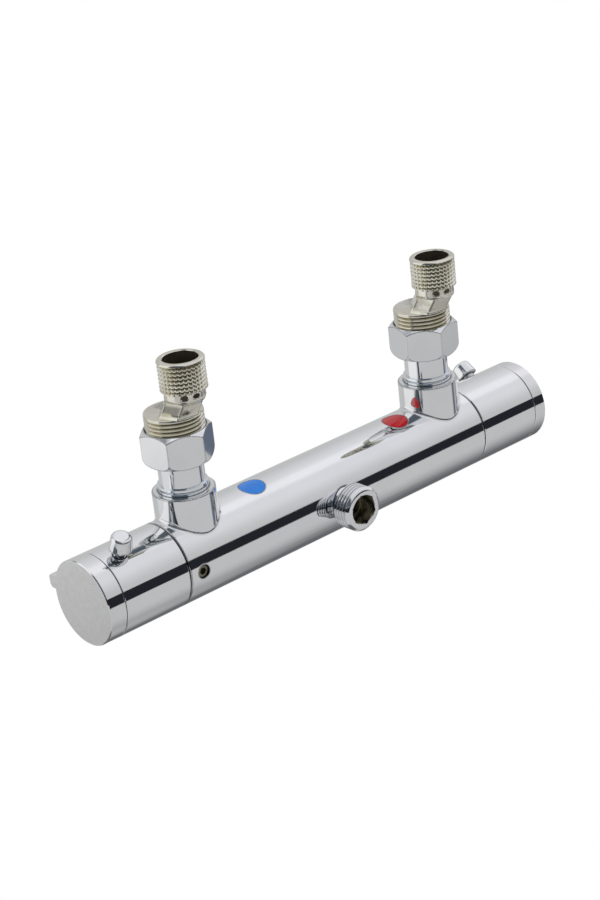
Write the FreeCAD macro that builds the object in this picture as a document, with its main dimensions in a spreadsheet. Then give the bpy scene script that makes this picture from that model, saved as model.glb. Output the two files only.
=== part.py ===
import FreeCAD, Part
import math
import os
import re
import Sketcher

# Bar shower valve, in millimetres. X runs along the bar, the wall is at +Y and the outlet points down.
# The origin is midway between the two wall ends of the eccentric unions.
# Each piece is modelled about its own Z axis. Stations along that axis count from the bar's middle line
# or, for pieces that lie along the bar, from the middle of its length.

SIZES = {
    # general clearances, and how far a cut reaches past the surface it opens
    "seat_gap": 0.3,
    "run_gap": 0.08,
    "screw_gap": 0.1,
    "overshoot": 1.0,
    # inlets, bar body and its bosses
    "inlet_spacing": 150.0,
    "bar_diameter": 39.2,
    "body_margin": 2.4,
    "edge_break": 0.4,
    "boss_diameter": 28.2,
    "boss_top": 31.5,
    "boss_round": 1.6,
    "chamber_diameter": 27.0,
    "chamber_small": 21.0,
    "flow_chamber": 19.0,
    "flow_mouth": 21.0,
    "flow_depth": 49.5,
    "mouth_depth": 8.5,
    "mixed_passage": 12.0,
    "hot_passage": 6.0,
    "hot_passage_rise": 14.0,
    "outlet_passage": 7.2,
    "outlet_passage_drop": 12.0,
    "inlet_passage": 9.0,
    "passage_overlap": 0.9,
    # inlet tail
    "tail_thread": 19.0,
    "tail_thread_depth": 9.5,
    "tail_diameter": 20.4,
    "tail_ring": 22.4,
    "tail_ring_width": 1.2,
    "tail_groove": 19.2,
    "tail_groove_width": 0.8,
    "tail_length": 13.2,
    "tail_bore": 14.4,
    "tail_flange": 23.8,
    "tail_flange_width": 3.2,
    # union nut
    "nut_height": 15.8,
    "nut_lip": 3.8,
    "nut_lip_bore": 21.0,
    "nut_flats": 28.4,
    "nut_corners": 32.6,
    "nut_bowl": 4.0,
    "nut_chamfer": 2.0,
    "nut_mouth": 0.3,
    "cold_nut_turn": 36.4,
    "hot_nut_turn": 16.8,
    # washer and eccentric union
    "washer_width": 1.8,
    "washer_bore": 12.0,
    "union_offset": 10.0,
    "union_thread": 26.44,
    "union_thread_length": 14.0,
    "union_lower_bore": 16.0,
    "union_floor": 3.8,
    "neck_flats": 16.6,
    "neck_length": 8.8,
    "neck_foot_offset": 4.2,
    "neck_sink": 0.6,
    "neck_turn": 48.0,
    "neck_bore": 13.0,
    "slant_offset": 2.6,
    "slant_overlap": 0.4,
    "collar_width": 4.0,
    "collar_diameter": 18.0,
    "pipe_thread": 20.955,
    "pipe_thread_length": 13.9,
    "pipe_bore": 15.6,
    "pipe_bore_depth": 14.9,
    "rim_round": 1.3,
    # check valve in each tail
    "check_length": 11.0,
    "check_inset": 5.0,
    "check_wall": 1.3,
    "check_seat_width": 2.0,
    "check_seat_bore": 8.0,
    "check_foot_width": 1.8,
    "check_windows": 3,
    "poppet_diameter": 9.6,
    "poppet_thickness": 1.8,
    "poppet_stem": 2.2,
    "poppet_travel": 2.2,
    "check_coil": 6.0,
    "check_wire": 0.6,
    # outlet nipple
    "outlet_neck_length": 3.0,
    "outlet_thread_length": 8.6,
    "outlet_face": 18.4,
    "outlet_chamfer": 1.5,
    "outlet_spigot": 15.6,
    "outlet_spigot_depth": 9.1,
    "outlet_bore": 11.0,
    "outlet_key": 12.8,
    "outlet_key_depth": 9.0,
    "outlet_key_turn": 38.0,
    "outlet_mouth": 13.0,
    "outlet_mouth_depth": 1.0,
    "thread_chamfer": 0.9,
    # index dots
    "dot_diameter": 12.0,
    "dot_depth": 1.6,
    "dot_tilt": 82.0,
    "cold_dot_place": 39.8,
    "hot_dot_place": 49.4,
    # locking screw under the bar
    "lock_screw": 6.0,
    "lock_screw_inset": 7.2,
    "lock_screw_depth": 1.0,
    "lock_screw_key": 3.0,
    "lock_screw_key_depth": 2.4,
    # temperature cartridge
    "housing_tail": 17.0,
    "housing_bore": 21.6,
    "housing_small_bore": 16.0,
    "housing_floor": 2.0,
    "housing_mouth": 10.0,
    "housing_waist": 24.0,
    "mixing_gap": 2.0,
    "window_lead": 1.0,
    "window_length": 6.0,
    "window_margin": 2.5,
    "window_width": 7.0,
    "windows": 4,
    "seal_section": 1.6,
    "seal_width": 2.2,
    "seal_play": 0.02,
    "seal_land": 2.5,
    "small_seal_depth": 8.0,
    "gland_collar": 5.5,
    "gland_flats": 26.0,
    "gland_corners": 28.4,
    "gland_flat_start": 0.8,
    "gland_thread": 28.4,
    # moving parts of the temperature cartridge
    "shuttle_below": 4.6,
    "shuttle_above": 6.7,
    "shuttle_wall": 1.6,
    "shuttle_web_width": 2.4,
    "shuttle_holes": 6,
    "shuttle_hole": 2.2,
    "wax_bulb": 9.0,
    "wax_bulb_length": 23.0,
    "wax_bulb_round": 1.0,
    "wax_body": 10.4,
    "wax_body_length": 5.4,
    "wax_collar": 13.0,
    "wax_collar_width": 3.6,
    "wax_pin": 3.2,
    "wax_pin_length": 9.1,
    "return_coil": 12.4,
    "return_wire": 1.2,
    "return_turns": 5,
    "carriage_diameter": 15.6,
    "carriage_length": 22.5,
    "carriage_play": 2.0,
    "carriage_bore": 10.4,
    "carriage_lip": 1.6,
    "plunger_width": 3.0,
    "overload_coil": 8.0,
    "overload_wire": 1.1,
    "overload_turns": 4,
    "thread_pitch": 1.5,
    # spindles
    "spindle_barrel": 18.8,
    "spindle_roof": 2.0,
    "spindle_neck": 11.6,
    "spline_length": 12.0,
    "spline_diameter": 11.0,
    "spline_depth": 0.7,
    "spline_step": 1.0,
    "splines": 16,
    "spindle_short": 1.0,
    "spindle_hole": 3.6,
    "spindle_hole_depth": 10.0,
    # flow cartridge
    "disc_seal_width": 3.0,
    "disc_seal_lip": 1.6,
    "flow_body_bore": 15.6,
    "flow_neck_bore": 12.4,
    "flow_gland_flats": 19.6,
    "flow_gland_corners": 22.0,
    "flow_seal_depth": 17.5,
    "flow_windows": 2,
    "disc_width": 3.4,
    "disc_gap": 0.05,
    "disc_window": 4.2,
    "disc_window_place": 4.3,
    "flow_seal_bore": 11.0,
    "driver_lead": 0.55,
    "driver_width": 5.6,
    "driver_tongue": 5.0,
    "driver_margin": 2.0,
    "flow_spindle_neck": 11.6,
    # handles
    "handle_seam": 0.4,
    "handle_length": 34.7,
    "handle_wall": 2.4,
    "handle_web_inset": 4.6,
    "handle_web_width": 2.6,
    "handle_hub": 16.6,
    "cap_seam": 0.3,
    "temperature_cap_width": 8.6,
    "flow_cap_width": 7.1,
    "cap_skirt": 1.8,
    "cap_skirt_wall": 1.6,
    "cap_face": 3.0,
    "cap_edge": 0.5,
    "tab_width": 6.4,
    "tab_length": 6.0,
    "tab_reach": 24.8,
    "tab_bevel": 1.2,
    "tab_side": 3.2,
    "handle_screw_head": 7.4,
    "handle_screw_head_width": 2.4,
    "handle_screw_flange": 12.2,
    "handle_screw_flange_width": 0.8,
    "handle_screw_key": 3.0,
    # stop buttons
    "button_inset": 8.6,
    "button_head": 9.3,
    "button_rim": 10.2,
    "button_rim_width": 0.8,
    "button_flare": 4.4,
    "button_height": 7.0,
    "button_dome": 1.7,
    "button_neck": 6.0,
    "button_spigot": 3.0,
    "button_spigot_length": 1.2,
    "temperature_button_gap": 3.6,
    "flow_button_gap": 2.2,
    "temperature_button_angle": 69.0,
    "flow_button_angle": 40.0,
    "latch_gap": 0.7,
    "latch_height": 3.6,
    "latch_side": 7.0,
    "latch_arm_width": 5.0,
    "latch_arm_depth": 2.0,
    "latch_pocket": 5.0,
    "latch_pocket_depth": 2.7,
    "button_coil": 3.4,
    "button_wire": 0.5,
    "button_turns": 3,
    "button_spring_length": 3.6,
    # stop rings
    "stop_ring_width": 1.7,
    "stop_ring_wall": 0.7,
    "stop_peg_margin": 0.8,
    "stop_peg_depth": 1.8,
    "stop_peg_height": 4.2,
    "stop_peg_angle": 15.0,
    "temperature_stop": 30.0,
    "temperature_cold_stop": 120.0,
    "flow_range": 90.0,
    "stop_play": 1.5,
}

# places that follow from the sizes, each from what carries it
PLACES = {
    # up each inlet, from the bar's middle line to the wall
    "tail_seat": "boss_top - tail_thread_depth",
    "nut_start": "boss_top + tail_length",
    "nut_end": "nut_start + nut_height",
    "flange_start": "nut_start + nut_lip + seat_gap",
    "tail_top": "flange_start + tail_flange_width",
    "check_end": "tail_top - check_inset",
    "check_start": "check_end - check_length",
    "union_start": "tail_top + washer_width",
    "disc_top": "union_start + union_thread_length",
    "union_bore_end": "disc_top - union_floor",
    "collar_start": "disc_top + neck_length",
    "pipe_thread_start": "collar_start + collar_width",
    "wall_distance": "pipe_thread_start + pipe_thread_length",
    "pipe_bore_start": "wall_distance - pipe_bore_depth",
    # the outlet, down from the bar's middle line
    "outlet_spigot_end": "bar_diameter / 2 - outlet_spigot_depth",
    "outlet_thread_start": "bar_diameter / 2 + outlet_neck_length",
    "outlet_reach": "outlet_thread_start + outlet_thread_length",
    "dot_floor": "bar_diameter / 2 - dot_depth",
    "lock_screw_head": "bar_diameter / 2 - lock_screw_depth",
    "lock_screw_tip": "gland_thread / 2 + seat_gap",
    # along the bar towards each handle, from the middle of its length
    "body_half": "inlet_spacing / 2 + boss_diameter / 2 + body_margin",
    "mouth_floor": "body_half - mouth_depth",
    "gland_end": "body_half + gland_collar",
    "stop_ring_start": "gland_end + seat_gap",
    "stop_peg_start": "stop_ring_start + stop_ring_width",
    "latch_arm_end": "stop_peg_start + 2 * seat_gap",
    "lock_screw_place": "body_half - lock_screw_inset",
    "handle_start": "body_half + handle_seam",
    "handle_end": "handle_start + handle_length",
    "cap_start": "handle_end + cap_seam",
    "button_place": "handle_end - button_inset",
    "handle_web": "handle_end - handle_web_inset",
    "web_end": "handle_web + handle_web_width",
    "spindle_end": "web_end - spindle_short",
    "spindle_hole_floor": "spindle_end - spindle_hole_depth",
    "spline_start": "handle_web - spline_length",
    "hub_start": "spline_start - spline_step + seat_gap",
    # moving parts of the temperature cartridge, from its spindle inwards
    "cavity_end": "gland_end - spindle_roof",
    "carriage_end": "cavity_end - carriage_play",
    "carriage_start": "carriage_end - carriage_length",
    "wax_pin_end": "carriage_start + carriage_lip",
    "plunger_start": "wax_pin_end + seat_gap",
    "wax_body_end": "wax_pin_end - wax_pin_length",
    "shuttle_web": "wax_body_end - wax_body_length",
    "shuttle_start": "shuttle_web - shuttle_below",
    "shuttle_end": "shuttle_web + shuttle_above",
    "wax_collar_start": "shuttle_web - wax_collar_width",
    "wax_bulb_start": "wax_collar_start - wax_bulb_length",
    # its housing, whose windows stand at both ends of the shuttle
    "hot_window_end": "shuttle_start - window_lead",
    "hot_window": "hot_window_end - window_length",
    "cold_window": "shuttle_end + window_lead",
    "cold_window_end": "cold_window + window_length",
    "hot_waist_start": "hot_window - window_margin",
    "hot_waist_end": "hot_window_end + window_margin",
    "cold_waist_start": "cold_window - window_margin",
    "cold_seal": "mouth_floor - seal_land",
    "cold_waist_end": "cold_seal - seal_land",
    "hot_seal": "(hot_waist_end + cold_waist_start) / 2",
    "chamber_start": "hot_waist_start - window_margin",
    "small_seal": "chamber_start - small_seal_depth",
    "housing_start": "chamber_start - housing_tail",
    "chamber_end": "housing_start - mixing_gap",
    # the flow cartridge, from its chamber's end outwards
    "flow_chamber_end": "body_half - flow_depth",
    "flow_seal_start": "flow_chamber_end + seat_gap",
    "flow_body_start": "flow_chamber_end + disc_seal_width",
    "fixed_disc_start": "flow_body_start + disc_seal_lip",
    "fixed_disc_end": "fixed_disc_start + disc_width",
    "moving_disc_start": "fixed_disc_end + disc_gap",
    "moving_disc_end": "moving_disc_start + disc_width",
    "flow_window": "moving_disc_end + driver_lead",
    "driver_top": "flow_window + driver_width",
    "flow_body_step": "driver_top + 3 * seat_gap",
    "flow_seal": "body_half - flow_seal_depth",
    # across the handle
    "shell_radius": "bar_diameter / 2 - handle_wall",
    "stop_ring_radius": "shell_radius - seat_gap - stop_ring_wall",
    "stop_peg_outer": "stop_ring_radius - stop_peg_margin",
    "stop_peg_inner": "stop_peg_outer - stop_peg_depth",
    "latch_top": "shell_radius - latch_gap",
    "latch_bottom": "latch_top - latch_height",
}

document = FreeCAD.newDocument("bar_valve")
sheet = document.addObject("Spreadsheet::Sheet", "sizes")
for row, (alias, value) in enumerate(SIZES.items(), 1):
    sheet.set(f"A{row}", alias)
    sheet.set(f"B{row}", str(value))
    sheet.setAlias(f"B{row}", alias)
places = document.addObject("App::VarSet", "places")
for alias in PLACES:
    places.addProperty("App::PropertyFloat", alias)
document.recompute()

BAR_RADIUS = "bar_diameter / 2"
INLET = "inlet_spacing / 2"
FUNCTIONS = ("sqrt", "cos", "sin", "tan")
HEXAGON = "/ (2 * cos(30))"

UPRIGHT = FreeCAD.Rotation()
ALONG_X = FreeCAD.Rotation(FreeCAD.Vector(0, 1, 0), 90)
ALONG_Y = FreeCAD.Rotation(FreeCAD.Vector(1, 0, 0), -90)
FRAMES = {
    "temperature": (("0", "-wall_distance", "union_offset"), ALONG_X),
    "flow": (("0", "-wall_distance", "union_offset"), FreeCAD.Rotation(FreeCAD.Vector(0, 1, 0), -90)),
    "cold": ((INLET, "-wall_distance", "union_offset"), ALONG_Y),
    "hot": ((f"-{INLET}", "-wall_distance", "union_offset"), ALONG_Y),
    "outlet": (("0", "-wall_distance", "union_offset"), FreeCAD.Rotation(FreeCAD.Vector(1, 0, 0), 180)),
}
pieces = []


def size(alias):
    """a size from the sheet or a place that follows from the sizes, as a number"""
    return getattr(places, alias) if alias in PLACES else float(sheet.get(alias))


def formula(text):
    """a formula in the names of sizes and places, written out for the document"""
    def full_name(word):
        name = word.group()
        if name in FUNCTIONS:
            return name
        return ("places." if name in PLACES else "sizes.") + name

    return re.sub(r"[a-z][a-z_]+", full_name, text)


def bind(item, **formulas):
    for name, text in formulas.items():
        item.setExpression(name, formula(text))


bind(places, **PLACES)
document.recompute()


def set_base(item, base):
    for letter, text in zip("xyz", base):
        item.setExpression(f"Placement.Base.{letter}", formula(text))


def turn_about_z(angle):
    return FreeCAD.Rotation(FreeCAD.Vector(0, 0, 1), angle)


def origin_of(body, role):
    return next(item for item in body.Origin.OriginFeatures if item.Role == role)


def sketch_on(body, name, plane):
    sketch = body.newObject("Sketcher::SketchObject", name)
    sketch.AttachmentSupport = [(origin_of(body, plane), "")]
    sketch.MapMode = "FlatFace"
    return sketch


def hold(sketch, kind, item, point, text):
    """one distance from the sketch's origin, bound to a formula"""
    number = sketch.addConstraint(Sketcher.Constraint(kind, -1, 1, item, point, 1.0))
    sketch.setExpression(f"Constraints[{number}]", formula(text))


def section(body, name, points, plane="XZ_Plane"):
    """a closed outline of straight sides, given as (radius, station) pairs"""
    sketch = sketch_on(body, name, plane)
    count = len(points)
    corners = [FreeCAD.Vector(index, index * index, 0) for index in range(count)]
    for index in range(count):
        sketch.addGeometry(Part.LineSegment(corners[index], corners[(index + 1) % count]))
    for index in range(count):
        sketch.addConstraint(Sketcher.Constraint("Coincident", index, 2, (index + 1) % count, 1))
    for index, (radius, station) in enumerate(points):
        hold(sketch, "DistanceX", index, 1, radius)
        hold(sketch, "DistanceY", index, 1, station)
    return sketch


def revolve(body, kind, name, points):
    turning = body.newObject("PartDesign::" + kind, name)
    turning.Profile = section(body, name + "_section", points)
    turning.ReferenceAxis = (turning.Profile[0], ["V_Axis"])
    turning.Angle = 360
    return turning


def turned(name, points):
    """a piece turned about its own Z axis"""
    body = document.addObject("PartDesign::Body", name)
    revolve(body, "Revolution", name + "_turning", points)
    return body


def tube(name, outer, inner, start, end):
    return turned(name, [(inner, start), (outer, start), (outer, end), (inner, end)])


def groove(body, name, outer, inner, start, end):
    """a ring cut away between two radii and two stations"""
    return revolve(body, "Groove", name, [(inner, start), (outer, start), (outer, end), (inner, end)])


def primitive(body, kind, name, base, rotation=UPRIGHT, **sizes):
    item = body.newObject("PartDesign::" + kind, name)
    bind(item, **sizes)
    item.Placement = FreeCAD.Placement(FreeCAD.Vector(), rotation)
    set_base(item, base)
    return item


def drill(body, name, radius, start, end, across="0", rotation=UPRIGHT, base=None):
    """a round hole along Z, or along another direction from a given base"""
    base = base or (across, "0", start)
    return primitive(body, "SubtractiveCylinder", name, base, rotation, Radius=radius,
                     Height=f"({end}) - ({start})")


def around(body, feature, name, count):
    """copies of a feature spaced evenly about the piece's own axis"""
    pattern = body.newObject("PartDesign::PolarPattern", name)
    pattern.Originals = [feature]
    pattern.Axis = (origin_of(body, "Z_Axis"), [""])
    pattern.Angle = 360
    bind(pattern, Occurrences=count)
    body.Tip = pattern
    return pattern


def soften(body, kind, name, amount, wanted):
    """a fillet or chamfer on the edges of the piece that pass a test"""
    document.recompute()
    base = body.Tip
    edges = [f"Edge{number}" for number, edge in enumerate(base.Shape.Edges, 1) if wanted(edge)]
    if not edges:
        raise ValueError(f"no edges for {name}")
    item = body.newObject("PartDesign::" + kind, name)
    item.Base = (base, edges)
    bind(item, **{"Radius" if kind == "Fillet" else "Size": amount})
    body.Tip = item
    return item


def ring_edge(radius, station):
    """a test for a whole circle of this radius about Z at this station"""
    def wanted(edge):
        curve = edge.Curve
        return (curve.TypeId == "Part::GeomCircle" and abs(curve.Radius - radius) < 0.01
                and abs(edge.BoundBox.ZMin - station) < 0.01 and abs(edge.BoundBox.ZMax - station) < 0.01)
    return wanted


def node(item, label, frame, rotation=UPRIGHT, slide="0"):
    """the finished piece in its place in the valve"""
    base, direction = FRAMES[frame]
    item.Label = label
    item.Placement = FreeCAD.Placement(FreeCAD.Vector(), direction.multiply(rotation))
    if frame in ("temperature", "flow"):
        sign = "" if frame == "temperature" else "-"
        base = (f"{sign}({slide})", base[1], base[2])
    set_base(item, base)
    pieces.append(item)
    return item


def spring(name, coil, wire, turns, start, end):
    """a coil spring about Z, in short straight runs"""
    sides = 10
    steps = turns * sides
    rise = (end - start - wire) / steps
    points = []
    for step in range(steps + 1):
        angle = 2 * math.pi * step / sides
        points.append(FreeCAD.Vector(coil / 2 * math.cos(angle), coil / 2 * math.sin(angle),
                                     start + wire / 2 + rise * step))
    along = points[1] - points[0]
    face = Part.Face(Part.Wire(Part.makeCircle(wire / 2, points[0], along)))
    corners = face.Wires[0].discretize(Number=7)
    wire_section = Part.makePolygon(corners)
    coil_shape = Part.makePolygon(points).makePipeShell([wire_section], True, True, 1)
    item = document.addObject("Part::Feature", name)
    item.Shape = coil_shape
    return item


# the cast body

def make_body():
    body = turned("body", [("0", "-body_half"), (f"{BAR_RADIUS}", "-body_half"),
                           (f"{BAR_RADIUS}", "body_half"), ("0", "body_half")])
    for side in ("-", ""):
        name = "hot_boss" if side else "cold_boss"
        primitive(body, "AdditiveCylinder", name, ("0", "0", f"{side}{INLET}"), ALONG_Y,
                  Radius="boss_diameter / 2", Height="boss_top")
    reach = size("bar_diameter") / 2
    middle = size("inlet_spacing") / 2
    boss = size("boss_diameter") / 2

    def is_junction(edge):
        spot = edge.valueAt((edge.FirstParameter + edge.LastParameter) / 2)
        on_bar = abs(math.hypot(spot.x, spot.y) - reach) < 0.01
        on_boss = abs(math.hypot(spot.x, abs(spot.z) - middle) - boss) < 0.01
        return on_bar and on_boss and spot.y > 0

    soften(body, "Fillet", "boss_junction", "boss_round", is_junction)
    soften(body, "Chamfer", "bar_ends", "edge_break",
           lambda edge: any(ring_edge(reach, side * size("body_half"))(edge) for side in (-1, 1)))
    top = size("boss_top")
    soften(body, "Chamfer", "boss_tops", "edge_break",
           lambda edge: abs(edge.BoundBox.YMin - top) < 0.01 and edge.Curve.TypeId == "Part::GeomCircle")
    # one bore along the bar: temperature chamber, mixed water passage, flow chamber
    revolve(body, "Groove", "long_bore", [
        ("0", "-body_half - overshoot"), ("flow_mouth / 2", "-body_half - overshoot"),
        ("flow_mouth / 2", "-mouth_floor"), ("flow_chamber / 2", "-mouth_floor"),
        ("flow_chamber / 2", "-flow_chamber_end"), ("mixed_passage / 2", "-flow_chamber_end"),
        ("mixed_passage / 2", "chamber_end"), ("chamber_small / 2", "chamber_end"),
        ("chamber_small / 2", "chamber_start"), ("chamber_diameter / 2", "chamber_start"),
        ("chamber_diameter / 2", "mouth_floor"),
        ("gland_thread / 2", "mouth_floor"),
        ("gland_thread / 2", "body_half + overshoot"), ("0", "body_half + overshoot")])
    for side, end in (("-", "hot_passage_rise"), ("", "chamber_diameter / 2 - passage_overlap")):
        name = "hot" if side else "cold"
        centre = f"{side}{INLET}"
        drill(body, name + "_tail_thread", "tail_thread / 2 + screw_gap", "tail_seat", "boss_top + overshoot",
              rotation=ALONG_Y, base=("0", "tail_seat", centre))
        drill(body, name + "_inlet_passage", "inlet_passage / 2", end, "tail_seat + overshoot",
              rotation=ALONG_Y, base=("0", end, centre))
    drill(body, "hot_water_passage", "hot_passage / 2", f"-{INLET}", "(hot_window + hot_window_end) / 2",
          base=("0", "hot_passage_rise", f"-{INLET}"))
    drill(body, "outlet_water_passage", "outlet_passage / 2", "-driver_top", "outlet_passage / 2",
          across="outlet_passage_drop")
    drill(body, "outlet_hole", "outlet_spigot / 2 + screw_gap", "outlet_spigot_end - seat_gap",
          "bar_diameter / 2 + overshoot", rotation=ALONG_X, base=("outlet_spigot_end - seat_gap", "0", "0"))
    drill(body, "lock_screw_hole", "lock_screw / 2 + screw_gap", "gland_thread / 2 - overshoot", "bar_diameter / 2 + overshoot",
          rotation=ALONG_X, base=("gland_thread / 2 - overshoot", "0", "lock_screw_place"))
    for side, place in (("", "cold_dot_place"), ("-", "hot_dot_place")):
        name = "hot" if side else "cold"
        tilt = turn_about_z(size("dot_tilt")).multiply(ALONG_X)
        base = ("dot_floor * cos(dot_tilt)", "dot_floor * sin(dot_tilt)", f"{side}{place}")
        drill(body, name + "_dot_recess", "dot_diameter / 2 + screw_gap", "dot_floor",
              "bar_diameter / 2 + overshoot", rotation=tilt, base=base)
    node(body, "valve_body", "temperature")


def make_dot(label, side, place):
    """an enamelled disc that follows the bar's round surface"""
    disc = document.addObject("Part::Cylinder", label + "_disc")
    bind(disc, Radius="dot_diameter / 2", Height="dot_depth + overshoot")
    disc.Placement = FreeCAD.Placement(FreeCAD.Vector(), turn_about_z(size("dot_tilt")).multiply(ALONG_X))
    set_base(disc, ("dot_floor * cos(dot_tilt)", "dot_floor * sin(dot_tilt)", f"{side}{place}"))
    rod = document.addObject("Part::Cylinder", label + "_rod")
    bind(rod, Radius=BAR_RADIUS, Height="dot_diameter + 2 * overshoot")
    set_base(rod, ("0", "0", f"{side}{place} - dot_diameter / 2 - overshoot"))
    dot = document.addObject("Part::Common", label + "_shape")
    dot.Base = disc
    dot.Tool = rod
    node(dot, label, "temperature")


def make_lock_screw():
    screw = turned("lock_screw_body", [("0", "lock_screw_tip + edge_break"), ("0", "lock_screw_head"),
                                       ("lock_screw / 2 - edge_break", "lock_screw_head"),
                                       ("lock_screw / 2", "lock_screw_head - edge_break"),
                                       ("lock_screw / 2", "lock_screw_tip + edge_break"),
                                       ("lock_screw / 2 - edge_break", "lock_screw_tip"),
                                       ("lock_screw / 4", "lock_screw_tip")])
    primitive(screw, "SubtractivePrism", "lock_screw_socket", ("0", "0", "lock_screw_head - lock_screw_key_depth"),
              Circumradius="lock_screw_key " + HEXAGON, Height="lock_screw_key_depth + overshoot")
    node(screw, "cartridge_lock_screw", "temperature", ALONG_X, "lock_screw_place")


# inlets

def make_tail(frame):
    ring_end = "(boss_top + tail_ring_width)"
    groove_end = f"({ring_end} + tail_groove_width)"
    shoulder = f"({groove_end} + tail_ring_width)"
    tail = turned(frame + "_tail", [
        ("tail_bore / 2", "tail_seat + seat_gap"), ("tail_thread / 2", "tail_seat + seat_gap"),
        ("tail_thread / 2", "boss_top"), ("tail_ring / 2", "boss_top"), ("tail_ring / 2", ring_end),
        ("tail_groove / 2", ring_end), ("tail_groove / 2", groove_end), ("tail_ring / 2", groove_end),
        ("tail_ring / 2", shoulder), ("tail_diameter / 2", shoulder), ("tail_diameter / 2", "flange_start"),
        ("tail_flange / 2", "flange_start"), ("tail_flange / 2", "tail_top"), ("tail_bore / 2", "tail_top")])
    node(tail, frame + "_inlet_tail", frame)


def make_check_valve(frame):
    radius = "(tail_bore / 2 - screw_gap)"
    cavity = f"({radius} - check_wall)"
    seat = "(check_end - check_seat_width)"
    foot = "(check_start + check_foot_width)"
    guide = "(poppet_stem / 2 + seat_gap)"
    housing = turned(frame + "_check", [
        (guide, "check_start"), (radius, "check_start"), (radius, "check_end"), ("check_seat_bore / 2", "check_end"),
        ("check_seat_bore / 2", seat), (cavity, seat), (cavity, foot), (guide, foot)])
    spacing = f"(({cavity} + {guide}) / 2)"
    hole = primitive(housing, "SubtractiveCylinder", frame + "_check_window", (spacing, "0", "check_start - overshoot"),
                     Radius=f"({cavity} - {guide}) / 2 - screw_gap * 4", Height="check_foot_width + 2 * overshoot")
    around(housing, hole, frame + "_check_windows", "check_windows")
    node(housing, frame + "_check_valve_housing", frame)
    top = f"({seat} - seat_gap)"
    under = f"({top} - poppet_thickness)"
    poppet = turned(frame + "_poppet", [
        ("0", "check_start + seat_gap * 3"), ("poppet_stem / 2", "check_start + seat_gap * 3"),
        ("poppet_stem / 2", under), ("poppet_diameter / 2", under),
        ("poppet_diameter / 2", f"{top} - poppet_thickness / 2"), ("check_seat_bore / 2 - seat_gap", top),
        ("0", top)])
    node(poppet, frame + "_check_poppet", frame)
    floor = size("check_start") + size("check_foot_width")
    pressed = (size("check_end") - size("check_seat_width") - size("poppet_thickness") - size("poppet_travel")
               - 2 * size("seat_gap"))
    node(spring(frame + "_check_coil", size("check_coil"), size("check_wire"), 2, floor + size("seat_gap") / 3,
                pressed), frame + "_check_spring", frame)


def make_union_nut(frame):
    """a six-sided nut with a round bowl under it and a chamfer on top"""
    bore = "(union_thread / 2 + run_gap)"
    blank = turned(frame + "_nut_blank", [
        ("nut_lip_bore / 2", "nut_start"), ("nut_corners / 2", "nut_start"),
        ("nut_corners / 2", "nut_end - nut_chamfer"), (f"{bore} + 2 * nut_mouth", "nut_end"),
        (f"{bore} + nut_mouth", "nut_end"), (bore, "nut_end - nut_mouth"), (bore, "nut_start + nut_lip"),
        ("nut_lip_bore / 2", "nut_start + nut_lip")])
    soften(blank, "Fillet", frame + "_nut_bowl", "nut_bowl", ring_edge(size("nut_corners") / 2, size("nut_start")))
    flats = document.addObject("Part::Prism", frame + "_nut_flats")
    flats.Polygon = 6
    bind(flats, Circumradius="nut_flats " + HEXAGON, Height="nut_end")
    nut = document.addObject("Part::Common", frame + "_nut")
    nut.Base = blank
    nut.Tool = flats
    node(nut, frame + "_union_nut", frame, turn_about_z(size(frame + "_nut_turn")))


def make_washer(frame):
    washer = tube(frame + "_washer", "tail_flange / 2", "washer_bore / 2", "tail_top", "union_start")
    node(washer, frame + "_inlet_washer", frame)


def hexagon_on(body, name, flats, across, station, rotation=0.0):
    """a hexagon in a plane across Z, its middle set off along Y"""
    sketch = sketch_on(body, name, "XY_Plane")
    sketch.AttachmentOffset = FreeCAD.Placement(FreeCAD.Vector(), turn_about_z(rotation))
    for letter, text in zip("yz", (across, station)):
        sketch.setExpression(f"AttachmentOffset.Base.{letter}", formula(text))
    corners = [FreeCAD.Vector(math.cos(math.radians(60 * index)), math.sin(math.radians(60 * index)), 0)
               for index in range(6)]
    for index in range(6):
        sketch.addGeometry(Part.LineSegment(corners[index], corners[(index + 1) % 6]))
    for index in range(6):
        sketch.addConstraint(Sketcher.Constraint("Coincident", index, 2, (index + 1) % 6, 1))
    for index, corner in enumerate(corners):
        reach = f"{flats} / (2 * cos(30))"
        hold(sketch, "DistanceX", index, 1, f"{reach} * {corner.x:.1f}" if abs(corner.x) > 0.01 else "0")
        hold(sketch, "DistanceY", index, 1, f"{flats} / 2 * {round(corner.y)}")
    return sketch


def circle_on(body, name, radius, across, station):
    sketch = sketch_on(body, name, "XY_Plane")
    for letter, text in zip("yz", (across, station)):
        sketch.setExpression(f"AttachmentOffset.Base.{letter}", formula(text))
    sketch.addGeometry(Part.Circle(FreeCAD.Vector(), FreeCAD.Vector(0, 0, 1), 1.0))
    sketch.addConstraint(Sketcher.Constraint("Coincident", 0, 3, -1, 1))
    number = sketch.addConstraint(Sketcher.Constraint("Radius", 0, 1.0))
    sketch.setExpression(f"Constraints[{number}]", formula(radius))
    return sketch


def loft(body, kind, name, first, second):
    item = body.newObject("PartDesign::" + kind, name)
    item.Profile = first
    item.Sections = [second]
    item.Ruled = True
    return item


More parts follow.
